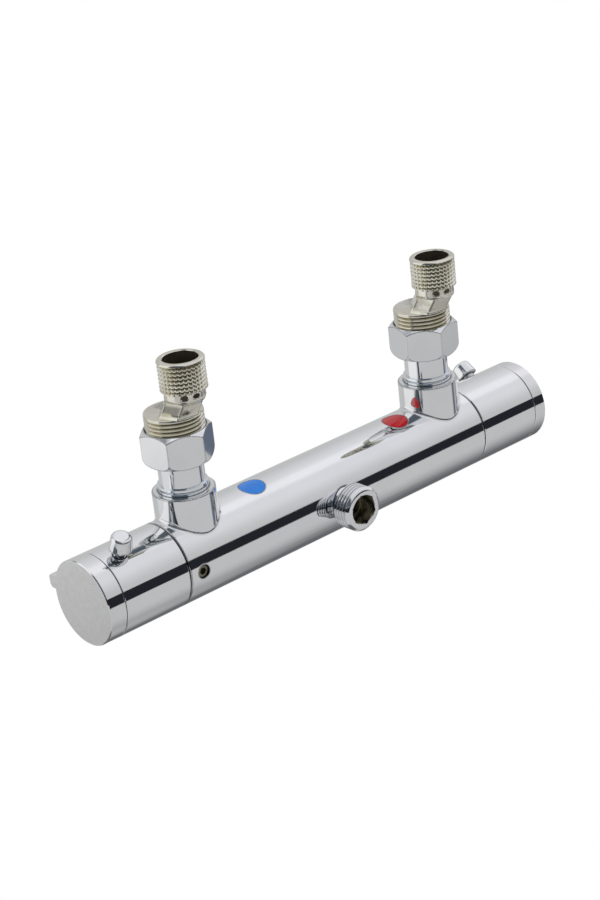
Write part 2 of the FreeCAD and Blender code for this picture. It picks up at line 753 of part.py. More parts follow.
def make_union(frame):
    """an eccentric union: threaded disc, slanted six-sided neck, collar, pipe thread, all one casting"""
    body = turned(frame + "_eccentric", [
        ("0", "union_start"), ("union_thread / 2 - thread_chamfer", "union_start"),
        ("union_thread / 2", "union_start + thread_chamfer"), ("union_thread / 2", "disc_top - thread_chamfer / 2"),
        ("union_thread / 2 - thread_chamfer / 2", "disc_top"), ("0", "disc_top")])
    turn = size("neck_turn")
    foot = hexagon_on(body, frame + "_neck_foot", "neck_flats", "neck_foot_offset", "disc_top - neck_sink", turn)
    head = hexagon_on(body, frame + "_neck_head", "neck_flats", "union_offset", "collar_start", turn)
    loft(body, "AdditiveLoft", frame + "_neck", foot, head)
    primitive(body, "AdditiveCylinder", frame + "_collar", ("0", "union_offset", "collar_start - neck_sink"),
              Radius="collar_diameter / 2", Height="collar_width + neck_sink")
    primitive(body, "AdditiveCylinder", frame + "_pipe_end", ("0", "union_offset", "pipe_thread_start"),
              Radius="pipe_thread / 2", Height="pipe_thread_length")
    document.recompute()
    radius = size("pipe_thread") / 2
    soften(body, "Fillet", frame + "_rim", "rim_round", ring_edge(radius, size("wall_distance")))
    soften(body, "Chamfer", frame + "_thread_foot", "thread_chamfer", ring_edge(radius, size("pipe_thread_start")))
    drill(body, frame + "_lower_bore", "union_lower_bore / 2", "union_start - overshoot", "union_bore_end")
    low = circle_on(body, frame + "_slant_start", "neck_bore / 2", "slant_offset", "union_bore_end - slant_overlap")
    high = circle_on(body, frame + "_slant_end", "neck_bore / 2", "union_offset", "pipe_bore_start + slant_overlap")
    loft(body, "SubtractiveLoft", frame + "_slant", low, high)
    drill(body, frame + "_pipe_bore", "pipe_bore / 2", "pipe_bore_start", "wall_distance + overshoot",
          base=("0", "union_offset", "pipe_bore_start"))
    node(body, frame + "_eccentric_union", frame)


# outlet

def make_outlet():
    """a threaded stub on a plain spigot, with a six-sided key hole"""
    spigot = "outlet_spigot / 2"
    nipple = turned("nipple", [
        ("outlet_bore / 2", "outlet_spigot_end"), (spigot, "outlet_spigot_end"), (spigot, "outlet_thread_start"),
        ("pipe_thread / 2 - thread_chamfer", "outlet_thread_start"),
        ("pipe_thread / 2", "outlet_thread_start + thread_chamfer"),
        ("pipe_thread / 2", "outlet_reach - outlet_chamfer"), ("outlet_face / 2", "outlet_reach"),
        ("outlet_mouth / 2", "outlet_reach"), ("outlet_bore / 2", "outlet_reach - outlet_mouth_depth")])
    primitive(nipple, "SubtractivePrism", "nipple_key", ("0", "0", "outlet_reach - outlet_key_depth"),
              turn_about_z(size("outlet_key_turn")), Circumradius="outlet_key " + HEXAGON,
              Height="outlet_key_depth + overshoot")
    node(nipple, "outlet_nipple", "outlet")


# temperature cartridge

def make_housing():
    small = "(chamber_small / 2 - seat_gap)"
    large = "(chamber_diameter / 2 - seat_gap)"
    step = "(chamber_start + seat_gap)"
    housing = turned("housing", [
        ("housing_mouth / 2", "housing_start"), (small, "housing_start"), (small, step), (large, step),
        (large, "mouth_floor"), ("housing_bore / 2", "mouth_floor"),
        ("housing_bore / 2", f"{step} + housing_floor"), ("housing_small_bore / 2", f"{step} + housing_floor"),
        ("housing_small_bore / 2", "housing_start + housing_floor"),
        ("housing_mouth / 2", "housing_start + housing_floor")])
    for name, inner, outer, start, end in (
            ("hot_waist", "housing_waist / 2", large, "hot_waist_start", "hot_waist_end"),
            ("cold_waist", "housing_waist / 2", large, "cold_waist_start", "cold_waist_end")):
        groove(housing, name, f"{outer} + overshoot", inner, start, end)
    for name, chamber, place in seal_places():
        groove(housing, name + "_groove", f"{chamber} / 2 + overshoot", f"{chamber} / 2 - seal_section",
               f"{place} - seal_width / 2", f"{place} + seal_width / 2")
    for name, start, end in (("hot", "hot_window", "hot_window_end"), ("cold", "cold_window", "cold_window_end")):
        window = primitive(housing, "SubtractiveBox", name + "_port",
                           ("housing_bore / 2 - overshoot", "-window_width / 2", start), Length="chamber_diameter / 2",
                           Width="window_width", Height=f"{end} - {start}")
        around(housing, window, name + "_ports", "windows")
    node(housing, "temperature_cartridge_housing", "temperature")


def seal_places():
    return (("small_seal", "chamber_small", "small_seal"), ("hot_seal", "chamber_diameter", "hot_seal"),
            ("cold_seal", "chamber_diameter", "cold_seal"))


def seal_ring(name, chamber, place):
    """an O-ring that just fits between its groove and the chamber"""
    ring = document.addObject("Part::Torus", name)
    bind(ring, Radius1=f"{chamber} / 2 - seal_section / 2", Radius2="seal_section / 2 - seal_play")
    set_base(ring, ("0", "0", place))
    return ring


def make_seals(label, frame, places):
    group = document.addObject("Part::Compound", label + "_group")
    group.Links = [seal_ring(name + "_ring", chamber, place) for name, chamber, place in places]
    node(group, label, frame)


def six_flats(body, name, flats):
    """six flats on a gland's round collar, which leave its corners rounded"""
    flat = primitive(body, "SubtractiveBox", name + "_flat", (f"{flats} / 2", f"-{flats} / 2",
                                                              "body_half + gland_flat_start"),
                     Length=f"{flats} / 2", Width=flats, Height="gland_collar")
    around(body, flat, name + "_flats", "6")


def make_gland():
    """the threaded ring with a six-sided head that holds the temperature cartridge in the bar"""
    bore = "(spindle_barrel / 2 + run_gap)"
    gland = turned("gland", [
        (bore, "mouth_floor + seat_gap"), ("gland_thread / 2 - screw_gap", "mouth_floor + seat_gap"),
        ("gland_thread / 2 - screw_gap", "body_half"), ("gland_corners / 2", "body_half"),
        ("gland_corners / 2", "gland_end"), (bore, "gland_end")])
    six_flats(gland, "gland", "gland_flats")
    node(gland, "temperature_cartridge_nut", "temperature")


def make_regulator():
    shuttle = turned("shuttle_body", [
        ("wax_body / 2 + screw_gap", "shuttle_web"), ("housing_bore / 2 - seat_gap - shuttle_wall", "shuttle_web"),
        ("housing_bore / 2 - seat_gap - shuttle_wall", "shuttle_start"),
        ("housing_bore / 2 - seat_gap", "shuttle_start"), ("housing_bore / 2 - seat_gap", "shuttle_end"),
        ("housing_bore / 2 - seat_gap - shuttle_wall", "shuttle_end"),
        ("housing_bore / 2 - seat_gap - shuttle_wall", "shuttle_web + shuttle_web_width"),
        ("wax_body / 2 + screw_gap", "shuttle_web + shuttle_web_width")])
    hole_place = "(wax_body / 2 + housing_bore / 2 - shuttle_wall) / 2"
    hole = primitive(shuttle, "SubtractiveCylinder", "shuttle_port", (hole_place, "0", "shuttle_web - overshoot"),
                     Radius="shuttle_hole / 2", Height="shuttle_web_width + 2 * overshoot")
    around(shuttle, hole, "shuttle_ports", "shuttle_holes")
    node(shuttle, "temperature_shuttle", "temperature")
    element = turned("wax_element_body", [
        ("0", "wax_bulb_start"), ("wax_bulb / 2 - wax_bulb_round", "wax_bulb_start"),
        ("wax_bulb / 2", "wax_bulb_start + wax_bulb_round"),
        ("wax_bulb / 2", "wax_collar_start"), ("wax_collar / 2", "wax_collar_start"),
        ("wax_collar / 2", "shuttle_web"), ("wax_body / 2", "shuttle_web"), ("wax_body / 2", "wax_body_end"),
        ("wax_pin / 2", "wax_body_end"), ("wax_pin / 2", "wax_pin_end"), ("0", "wax_pin_end")])
    node(element, "wax_element", "temperature")
    travel = size("thread_pitch") * size("temperature_cold_stop") / 360
    coil = spring("return_coil_shape", size("return_coil"), size("return_wire"), int(size("return_turns")),
                  size("housing_start") + size("housing_floor") + size("seat_gap") / 3,
                  size("wax_collar_start") - travel - size("seat_gap"))
    node(coil, "return_spring", "temperature")
    carriage = turned("carriage_body", [
        ("wax_pin / 2 + seat_gap", "carriage_start"), ("carriage_diameter / 2", "carriage_start"),
        ("carriage_diameter / 2", "carriage_end"), ("0", "carriage_end"),
        ("0", "carriage_end - carriage_lip"), ("carriage_bore / 2", "carriage_end - carriage_lip"),
        ("carriage_bore / 2", "carriage_start + carriage_lip"),
        ("wax_pin / 2 + seat_gap", "carriage_start + carriage_lip")])
    node(carriage, "temperature_carriage", "temperature")
    plunger = turned("plunger_body", [
        ("0", "plunger_start"), ("carriage_bore / 2 - seat_gap", "plunger_start"),
        ("carriage_bore / 2 - seat_gap", "plunger_start + plunger_width"),
        ("0", "plunger_start + plunger_width")])
    node(plunger, "overload_plunger", "temperature")
    rest = size("plunger_start") + size("plunger_width") + size("seat_gap")
    coil = spring("overload_coil_shape", size("overload_coil"), size("overload_wire"),
                  int(size("overload_turns")), rest, size("carriage_end") - size("carriage_lip") - size("seat_gap"))
    node(coil, "overload_spring", "temperature")


def spline(body, name):
    """grooves cut along the end of a spindle"""
    cut = primitive(body, "SubtractiveCylinder", name + "_groove",
                    ("spline_diameter / 2 + spline_depth / 3", "0", "spline_start"), Radius="spline_depth * 4 / 3",
                    Height="spindle_end - spline_start + overshoot")
    around(body, cut, name + "_splines", "splines")


def make_temperature_spindle():
    spindle = turned("temperature_spindle_body", [
        ("carriage_diameter / 2 + run_gap", "mouth_floor + 2 * seat_gap"),
        ("spindle_barrel / 2", "mouth_floor + 2 * seat_gap"), ("spindle_barrel / 2", "gland_end"),
        ("spindle_neck / 2", "gland_end"), ("spindle_neck / 2", "spline_start - spline_step"),
        ("spline_diameter / 2", "spline_start - spline_step"), ("spline_diameter / 2", "spindle_end"),
        ("spindle_hole / 2", "spindle_end"), ("spindle_hole / 2", "spindle_hole_floor"),
        ("0", "spindle_hole_floor"), ("0", "cavity_end"), ("carriage_diameter / 2 + run_gap", "cavity_end")])
    spline(spindle, "temperature_spindle")
    node(spindle, "temperature_spindle", "temperature")


# flow cartridge

def make_flow_cartridge():
    outer = "(flow_chamber / 2 - seat_gap)"
    thread = "(flow_mouth / 2 - screw_gap)"
    thread_start = "(mouth_floor + seat_gap)"
    body = turned("flow_cartridge", [
        ("flow_body_bore / 2", "flow_body_start"), (outer, "flow_body_start"), (outer, thread_start),
        (thread, thread_start), (thread, "body_half"), ("flow_gland_corners / 2", "body_half"),
        ("flow_gland_corners / 2", "gland_end"), ("flow_neck_bore / 2", "gland_end"),
        ("flow_neck_bore / 2", "flow_body_step"), ("flow_body_bore / 2", "flow_body_step")])
    six_flats(body, "flow_gland", "flow_gland_flats")
    window = primitive(body, "SubtractiveBox", "flow_port",
                       ("flow_body_bore / 2 - overshoot", "-window_width / 2", "flow_window"),
                       Length="flow_chamber / 2", Width="window_width", Height="driver_width")
    around(body, window, "flow_ports", "flow_windows")
    groove(body, "flow_seal_groove", "flow_chamber / 2 + overshoot", "flow_chamber / 2 - seal_section",
           "flow_seal - seal_width / 2", "flow_seal + seal_width / 2")
    node(body, "flow_cartridge_body", "flow")
    make_seals("flow_cartridge_seal", "flow", [("flow_seal", "flow_chamber", "flow_seal")])


def disc_with_windows(name, start, end):
    disc = tube(name, "flow_body_bore / 2 - seat_gap", "0", start, end)
    window = drill(disc, name + "_window", "disc_window / 2", f"{start} - overshoot", f"{end} + overshoot",
                   across="disc_window_place")
    around(disc, window, name + "_windows", "2")
    return disc


def make_flow_discs():
    node(disc_with_windows("fixed_disc_body", "fixed_disc_start", "fixed_disc_end"), "fixed_ceramic_disc", "flow",
         turn_about_z(90))
    node(disc_with_windows("moving_disc_body", "moving_disc_start", "moving_disc_end"), "moving_ceramic_disc",
         "flow")
    lip = "(flow_body_bore / 2 - seat_gap)"
    seal = turned("flow_seal_body", [
        ("flow_seal_bore / 2", "flow_seal_start"), ("flow_chamber / 2 - seat_gap", "flow_seal_start"),
        ("flow_chamber / 2 - seat_gap", "flow_body_start - seat_gap"), (lip, "flow_body_start - seat_gap"),
        (lip, "fixed_disc_start"), ("flow_seal_bore / 2", "fixed_disc_start")])
    node(seal, "flow_disc_seal", "flow")
    plug = "(flow_neck_bore / 2 - run_gap)"
    spindle = turned("flow_spindle_body", [
        ("0", "driver_top"), (plug, "driver_top"), (plug, "gland_end - spline_step"),
        ("flow_spindle_neck / 2", "gland_end - spline_step"),
        ("flow_spindle_neck / 2", "spline_start - spline_step"),
        ("spline_diameter / 2", "spline_start - spline_step"), ("spline_diameter / 2", "spindle_end"),
        ("spindle_hole / 2", "spindle_end"), ("spindle_hole / 2", "spindle_hole_floor"),
        ("0", "spindle_hole_floor")])
    primitive(spindle, "AdditiveBox", "driver_tongue",
              ("-flow_body_bore / 2 + driver_margin", "-driver_tongue / 2", "moving_disc_end"),
              Length="flow_body_bore - 2 * driver_margin", Width="driver_tongue",
              Height="driver_top - moving_disc_end + overshoot")
    spline(spindle, "flow_spindle")
    node(spindle, "flow_spindle", "flow")


# handles

def stop_ring(name, spindle_radius, pegs):
    """a flat ring with two pegs on its outer face, at given angles"""
    ring = tube(name, "stop_ring_radius", f"{spindle_radius} + seat_gap", "stop_ring_start", "stop_peg_start")
    document.recompute()
    half = size("stop_peg_angle") / 2
    sink = size("stop_ring_width") / 2
    foot = FreeCAD.Vector(0, 0, size("stop_peg_start") - sink)
    height = size("stop_peg_height") + sink
    up = FreeCAD.Vector(0, 0, 1)
    whole = document.addObject("Part::MultiFuse", name + "_fuse")
    shapes = [ring]
    for number, angle in enumerate(pegs):
        block = document.addObject("Part::Feature", f"{name}_peg_{number}")
        sector = Part.makeCylinder(size("stop_peg_outer"), height, foot, up, 2 * half)
        peg = sector.cut(Part.makeCylinder(size("stop_peg_inner"), height, foot, up))
        peg.rotate(FreeCAD.Vector(), up, angle - half)
        block.Shape = peg
        shapes.append(block)
    whole.Shapes = shapes
    return whole


def finger_half_angle():
    return math.degrees(math.atan2(size("latch_arm_width") / 2, size("stop_peg_inner")))


def make_handle(side, button_angle):
    """one handle: shell, screw, end cap, stop button with its latch and spring"""
    hub_bore = "(spline_diameter / 2 + run_gap)"
    shell = turned(side + "_shell", [
        ("shell_radius", "handle_start"), (f"{BAR_RADIUS} - edge_break", "handle_start"),
        (BAR_RADIUS, "handle_start + edge_break"), (BAR_RADIUS, "handle_end - edge_break / 2"),
        (f"{BAR_RADIUS} - edge_break / 2", "handle_end"), ("shell_radius", "handle_end"),
        ("shell_radius", "web_end"), (hub_bore, "web_end"), (hub_bore, "hub_start"),
        ("handle_hub / 2", "hub_start"), ("handle_hub / 2", "handle_web"), ("shell_radius", "handle_web")])
    rotation = turn_about_z(button_angle).multiply(ALONG_X)
    start = "(handle_hub / 2 + overshoot)"
    drill(shell, side + "_button_hole", "button_neck / 2 + seat_gap", start, "bar_diameter / 2 + overshoot",
          rotation=rotation, base=(f"{start} * cos({side}_button_angle)", f"{start} * sin({side}_button_angle)",
                                   "button_place"))
    node(shell, side + "_handle", side)
    thread = "(spindle_hole / 2 - screw_gap)"
    flange = "(web_end + disc_gap)"
    head = f"({flange} + handle_screw_flange_width)"
    screw = turned(side + "_screw", [
        ("0", "spindle_hole_floor + overshoot"), (thread, "spindle_hole_floor + overshoot"), (thread, flange),
        ("handle_screw_flange / 2", flange), ("handle_screw_flange / 2", head), ("handle_screw_head / 2", head),
        ("handle_screw_head / 2", f"{head} + handle_screw_head_width"), ("0", f"{head} + handle_screw_head_width")])
    primitive(screw, "SubtractivePrism", side + "_screw_key", ("0", "0", f"{head} + edge_break"),
              Circumradius="handle_screw_key " + HEXAGON, Height="handle_screw_head_width")
    node(screw, side + "_handle_screw", side)
    skirt = "(shell_radius - screw_gap)"
    cap_end = f"(cap_start + {side}_cap_width)"
    cap = turned(side + "_cap", [
        (f"{skirt} - cap_skirt_wall", "cap_start - cap_skirt"), (skirt, "cap_start - cap_skirt"),
        (skirt, "cap_start"), (f"{BAR_RADIUS} - edge_break / 2", "cap_start"),
        (BAR_RADIUS, "cap_start + edge_break / 2"), (BAR_RADIUS, f"{cap_end} - cap_edge"),
        (f"{BAR_RADIUS} - cap_edge", cap_end), ("0", cap_end), ("0", f"{cap_end} - cap_face"),
        (f"{skirt} - cap_skirt_wall", f"{cap_end} - cap_face")])
    if side == "temperature":
        primitive(cap, "AdditiveBox", "cap_tab",
                  ("-tab_reach", "tab_side - tab_width / 2", f"(cap_start + {cap_end} - tab_length) / 2"),
                  Length="tab_reach - bar_diameter / 2 + overshoot", Width="tab_width", Height="tab_length")
        tip = -size("tab_reach")
        soften(cap, "Chamfer", "tab_corners", "tab_bevel",
               lambda edge: abs(edge.BoundBox.XMax - tip) < 0.01 and edge.BoundBox.YLength < 0.01)
    node(cap, side + "_end_cap", side)
    make_button(side, rotation)


def make_button(side, rotation):
    rim = f"(bar_diameter / 2 + {side}_button_gap)"
    neck_end = f"({rim} + button_rim_width)"
    top = f"({rim} + button_height)"
    spigot = "(latch_top - button_spigot_length)"
    button = turned(side + "_button_body", [
        ("0", spigot), ("button_spigot / 2", spigot), ("button_spigot / 2", "latch_top"),
        ("button_neck / 2", "latch_top"), ("button_neck / 2", rim), ("button_rim / 2", rim),
        ("button_rim / 2", neck_end), ("button_head / 2", f"{neck_end} + button_flare"),
        ("button_head / 2", top), ("0", top)])
    height = size("bar_diameter") / 2 + size(side + "_button_gap") + size("button_height")
    soften(button, "Fillet", side + "_button_dome", "button_dome", ring_edge(size("button_head") / 2, height))
    node(button, side + "_stop_button", side, rotation, "button_place")
    latch = document.addObject("PartDesign::Body", side + "_latch_body")
    primitive(latch, "AdditiveBox", side + "_latch_block", ("-latch_side / 2", "-latch_side / 2", "latch_bottom"),
              Length="latch_side", Width="latch_side", Height="latch_height")
    primitive(latch, "AdditiveBox", side + "_latch_arm",
              ("latch_side / 2 - overshoot", "-latch_arm_width / 2", "latch_bottom"),
              Length="button_place - latch_arm_end - latch_side / 2 + overshoot", Width="latch_arm_width",
              Height="latch_arm_depth")
    drill(latch, side + "_latch_socket", "button_spigot / 2", spigot, "latch_top + overshoot")
    drill(latch, side + "_latch_pocket", "latch_pocket / 2", "latch_bottom - overshoot",
          "latch_bottom + latch_pocket_depth")
    node(latch, side + "_stop_latch", side, rotation, "button_place")
    start = size("handle_hub") / 2 + size("screw_gap")
    coil = spring(side + "_button_coil", size("button_coil"), size("button_wire"), int(size("button_turns")),
                  start, start + size("button_spring_length"))
    node(coil, side + "_button_spring", side, rotation, "button_place")


def make_stops():
    finger = finger_half_angle() + size("stop_peg_angle") / 2 + size("stop_play")
    angle = size("temperature_button_angle")
    ring = stop_ring("temperature_ring", "spindle_neck / 2",
                     (angle + size("temperature_stop") + finger, angle - size("temperature_cold_stop") - finger))
    node(ring, "temperature_stop_ring", "temperature")
    angle = size("flow_button_angle")
    ring = stop_ring("flow_ring_body", "flow_spindle_neck / 2",
                     (angle + finger, angle - size("flow_range") - finger))
    node(ring, "flow_stop_ring", "flow")


def write_parts():
    document.recompute()
    for item in document.Objects:
        if any(word in item.State for word in ("Invalid", "Error")):
            raise RuntimeError(f"{item.Label} failed: {item.State}")
    os.makedirs("parts", exist_ok=True)
    for item in pieces:
        if item.Shape.isNull() or not item.Shape.isValid():
            raise RuntimeError(f"{item.Label} has no valid shape")
        item.Shape.exportStep(f"parts/{item.Label}.step")


make_body()
make_dot("cold_index_dot", "", "cold_dot_place")
make_dot("hot_index_dot", "-", "hot_dot_place")
make_lock_screw()
for inlet in ("cold", "hot"):
    make_tail(inlet)
    make_check_valve(inlet)
    make_union_nut(inlet)
    make_washer(inlet)
    make_union(inlet)
make_outlet()
make_housing()
make_seals("temperature_cartridge_seals", "temperature", seal_places())
make_gland()
make_regulator()
make_temperature_spindle()
make_flow_cartridge()
make_flow_discs()
make_handle("temperature", size("temperature_button_angle"))
make_handle("flow", size("flow_button_angle"))
make_stops()
write_parts()
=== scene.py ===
import bpy
import math
from mathutils import Matrix, Vector


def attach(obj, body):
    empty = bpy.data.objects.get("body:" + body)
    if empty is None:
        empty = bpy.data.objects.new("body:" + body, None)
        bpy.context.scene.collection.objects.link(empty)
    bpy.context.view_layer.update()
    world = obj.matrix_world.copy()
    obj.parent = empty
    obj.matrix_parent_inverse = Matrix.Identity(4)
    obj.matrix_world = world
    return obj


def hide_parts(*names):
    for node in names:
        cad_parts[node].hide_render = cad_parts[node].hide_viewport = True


# Bar shower valve: its finishes, its threaded pieces and the studio.
# Everything is in metres in the frame. The threaded pieces are drawn in millimetres and placed in it.

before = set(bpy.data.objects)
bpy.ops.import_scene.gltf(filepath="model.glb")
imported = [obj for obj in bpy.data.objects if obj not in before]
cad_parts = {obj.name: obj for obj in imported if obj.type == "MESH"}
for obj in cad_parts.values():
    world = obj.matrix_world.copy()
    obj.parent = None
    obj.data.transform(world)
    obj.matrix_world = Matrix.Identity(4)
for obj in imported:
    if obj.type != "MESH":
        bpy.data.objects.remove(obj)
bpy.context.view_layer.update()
MM = 0.001


# shader helpers

class Nodes:
    """short hand for building one node tree"""

    def __init__(self, tree):
        self.tree = tree

    def add(self, kind, inputs=None, **settings):
        """a node with its settings, and its inputs by name or number"""
        node = self.tree.nodes.new(kind)
        for name, value in settings.items():
            setattr(node, name, value)
        for name, value in (inputs or {}).items():
            self.feed(node.inputs[name], value)
        return node

    def feed(self, socket, value):
        """a link from another node's socket, or a plain value"""
        if isinstance(value, bpy.types.NodeSocket):
            self.tree.links.new(value, socket)
        else:
            socket.default_value = value

    def math(self, operation, *values):
        node = self.add("ShaderNodeMath", operation=operation)
        for socket, value in zip(node.inputs, values):
            self.feed(socket, value)
        return node.outputs[0]

    def span(self, value, low, high, to_low=0.0, to_high=1.0, smooth=False):
        """value mapped from low..high to to_low..to_high"""
        kind = "SMOOTHSTEP" if smooth else "LINEAR"
        node = self.add("ShaderNodeMapRange", interpolation_type=kind)
        for socket, item in zip(node.inputs, (value, low, high, to_low, to_high)):
            self.feed(socket, item)
        return node.outputs[0]

    def both(self, *masks):
        """masks and amounts multiplied: 1 where all of them are 1"""
        product = masks[0]
        for mask in masks[1:]:
            product = self.math("MULTIPLY", product, mask)
        return product

    def away(self, value, middle):
        """how far a value is from a middle one, on either side"""
        return self.math("ABSOLUTE", self.math("SUBTRACT", value, middle))

    def blend(self, amount, first, second):
        """the first colour where amount is 0, the second where it is 1"""
        node = self.add("ShaderNodeMix", data_type="RGBA")
        # the factor and the two colour sockets of a Mix node
        for number, value in ((0, amount), (6, first), (7, second)):
            self.feed(node.inputs[number], value)
        return node.outputs[2]

    def noise(self, place, scale, detail=3.0, roughness=0.5):
        inputs = {"Vector": place, "Scale": scale, "Detail": detail, "Roughness": roughness}
        return self.add("ShaderNodeTexNoise", inputs).outputs[0]


def effect(name, inputs, outputs, build):
    """a node group: build(nodes, input sockets) gives a value for each output"""
    tree = bpy.data.node_groups.new(name, "ShaderNodeTree")
    for label, kind, value in inputs:
        socket = tree.interface.new_socket(label, in_out="INPUT", socket_type=kind)
        socket.default_value = value
    for label, kind in outputs:
        tree.interface.new_socket(label, in_out="OUTPUT", socket_type=kind)
    nodes = Nodes(tree)
    entry = nodes.add("NodeGroupInput")
    leave = nodes.add("NodeGroupOutput")
    results = build(nodes, {label: entry.outputs[label] for label, _, _ in inputs})
    for label, value in results.items():
        nodes.feed(leave.inputs[label], value)
    return tree


def use(nodes, group, **inputs):
    """a node group placed in a material, with its inputs by name"""
    node = nodes.add("ShaderNodeGroup", node_tree=group)
    for label, value in inputs.items():
        nodes.feed(node.inputs[label.replace("_", " ")], value)
    return node.outputs


def grey(tone, warmth=0.0):
    """a grey that leans to red, or to blue where warmth is under 0"""
    return (tone * (1 + warmth), tone, tone * (1 - warmth), 1)


# effects shared by several materials

FLOAT = "NodeSocketFloat"
VECTOR = "NodeSocketVector"
# samples of the painted joint shade and of the rounded edge effect
RAYS = 6


def build_polish(nodes, given):
    """soft cloudy haze, faint wiping marks along the bar and slow waves on a polished plate"""
    wiping_scale = (60.0, 900.0, 900.0)
    wave_scale = 55.0
    place = nodes.add("ShaderNodeTexCoord").outputs["Object"]
    clouds = nodes.noise(place, given["Cloud Size"], 4.0, 0.55)
    stretched = nodes.add("ShaderNodeMapping", {"Vector": place, "Scale": wiping_scale}).outputs[0]
    wiped = nodes.noise(stretched, 1.0, 2.0, 0.6)
    waves = nodes.noise(place, wave_scale, 0.0)
    haze = nodes.both(nodes.span(clouds, 0.35, 0.75, smooth=True), given["Haze"])
    marks = nodes.both(nodes.span(wiped, 0.55, 0.8), given["Wiping"])
    return {"Haze": nodes.math("ADD", haze, marks), "Relief": wiped, "Waves": waves}


def build_grain(nodes, given):
    """the pebbled skin of a casting or a moulding, and wide patches of its tint"""
    spot_share = 0.3
    patch_scale = 0.08
    place = nodes.add("ShaderNodeTexCoord").outputs["Object"]
    coarse = nodes.noise(place, given["Grain Size"], 5.0, 0.6)
    spots = nodes.add("ShaderNodeTexVoronoi", {"Vector": place, "Scale": given["Grain Size"]}).outputs[0]
    height = nodes.math("ADD", coarse, nodes.both(spots, spot_share))
    patches = nodes.noise(place, nodes.both(given["Grain Size"], patch_scale), 3.0, 0.5)
    return {"Relief": height, "Patches": nodes.span(patches, 0.35, 0.7, smooth=True)}


def build_joint_shade(nodes, given):
    """painted shade: 1 in the narrow lines where two faces meet in a hollow and occlusion darkens them, 0
    on open faces
    """
    open_face, deep_joint = 0.82, 0.58
    occlusion = nodes.add("ShaderNodeAmbientOcclusion", {"Distance": given["Reach"]}, samples=RAYS)
    return {"Joint": nodes.span(occlusion.outputs["AO"], open_face, deep_joint, smooth=True)}


def build_edge(nodes, given):
    """normals that round every edge, and 1 in the thin line along it where a dark reflection is painted"""
    flat_face, full_line = 0.992, 0.965
    rounded = nodes.add("ShaderNodeBevel", {"Radius": given["Radius"]}, samples=RAYS).outputs[0]
    flat = nodes.add("ShaderNodeNewGeometry").outputs["Normal"]
    agree = nodes.add("ShaderNodeVectorMath", {0: rounded, 1: flat}, operation="DOT_PRODUCT")
    line = nodes.span(agree.outputs["Value"], flat_face, full_line, smooth=True)
    return {"Line": line, "Normal": rounded}


POLISH = effect("polish haze",
                [("Cloud Size", FLOAT, 40.0), ("Haze", FLOAT, 0.5), ("Wiping", FLOAT, 0.3)],
                [("Haze", FLOAT), ("Relief", FLOAT), ("Waves", FLOAT)], build_polish)
GRAIN = effect("pebble grain", [("Grain Size", FLOAT, 900.0)],
               [("Relief", FLOAT), ("Patches", FLOAT)], build_grain)
JOINT_SHADE = effect("painted joint shade", [("Reach", FLOAT, 0.002)], [("Joint", FLOAT)], build_joint_shade)
EDGE = effect("rounded edge and painted reflection line", [("Radius", FLOAT, 0.0003)],
              [("Line", FLOAT), ("Normal", VECTOR)], build_edge)


# materials

# the painted dark reflection in a thin line along an edge
PAINTED_EDGE_REFLECTION = (0.06, 0.065, 0.075, 1)


def surface(name):
    """a new material, with its nodes and its shader"""
    material = bpy.data.materials.new(name)
    material.use_nodes = True
    nodes = Nodes(material.node_tree)
    return material, nodes, material.node_tree.nodes["Principled BSDF"]


def raised(nodes, shader, height, depth, normal=None):
    """relief of a height times a depth in metres, over the given normals"""
    bump = nodes.add("ShaderNodeBump", {"Height": height, "Distance": depth, "Strength": 1.0})
    if normal:
        nodes.feed(bump.inputs["Normal"], normal)
    nodes.feed(shader.inputs["Normal"], bump.outputs[0])


def polished_metal(name, colour, dull, gloss=0.03, hazy=0.07, relief=0.000002, wave=0.00001,
                   edge=0.0003, joint=0.8, line=0.0):
    """bright plated metal with a duller and rougher haze, faint waves, rounded edges, a painted dark
    reflection along its edges and painted shade in its hollow joints

    gloss and hazy are its roughness clear of the haze and in it. relief and wave are heights, and edge
    a radius, in metres. joint is the tone of the painted shade in its hollow joints, line the strength of
    the painted dark reflection along its edges.
    """
    material, nodes, shader = surface(name)
    haze = use(nodes, POLISH)
    rounded = use(nodes, EDGE, Radius=edge)
    plate = nodes.blend(haze["Haze"], colour, dull)
    # painted reflection: a dark line along the rounded edges, as if they mirrored dark surroundings
    plate = nodes.blend(nodes.both(rounded["Line"], line), plate, PAINTED_EDGE_REFLECTION)
    # painted shade: the plate darkens where two faces meet in a hollow
    plate = nodes.blend(use(nodes, JOINT_SHADE)["Joint"], plate, grey(joint, -0.06))
    nodes.feed(shader.inputs["Base Color"], plate)
    nodes.feed(shader.inputs["Roughness"], nodes.span(haze["Haze"], 0.0, 1.0, gloss, hazy))
    shader.inputs["Metallic"].default_value = 1.0
    height = nodes.math("ADD", nodes.both(haze["Relief"], relief), nodes.both(haze["Waves"], wave))
    raised(nodes, shader, height, 1.0, rounded["Normal"])
    return material


def end_cap_chrome():
    """polished round the edge, satin on the flat end face"""
    satin_depth = 0.00001
    material, nodes, shader = surface("end cap chrome")
    haze = use(nodes, POLISH)
    grain = use(nodes, GRAIN, Grain_Size=5200.0)
    facing = nodes.add("ShaderNodeSeparateXYZ", {0: nodes.add("ShaderNodeTexCoord").outputs["Normal"]})
    flat = nodes.span(nodes.math("ABSOLUTE", facing.outputs[0]), 0.93, 0.97)
    polished = nodes.blend(haze["Haze"], grey(0.87, -0.01), grey(0.8))
    satin = nodes.blend(grain["Patches"], grey(0.78), grey(0.74))
    nodes.feed(shader.inputs["Base Color"], nodes.blend(flat, polished, satin))
    nodes.feed(shader.inputs["Roughness"], nodes.span(flat, 0.0, 1.0, 0.04, 0.2))
    shader.inputs["Metallic"].default_value = 1.0
    raised(nodes, shader, grain["Relief"], nodes.both(flat, satin_depth), use(nodes, EDGE)["Normal"])
    return material


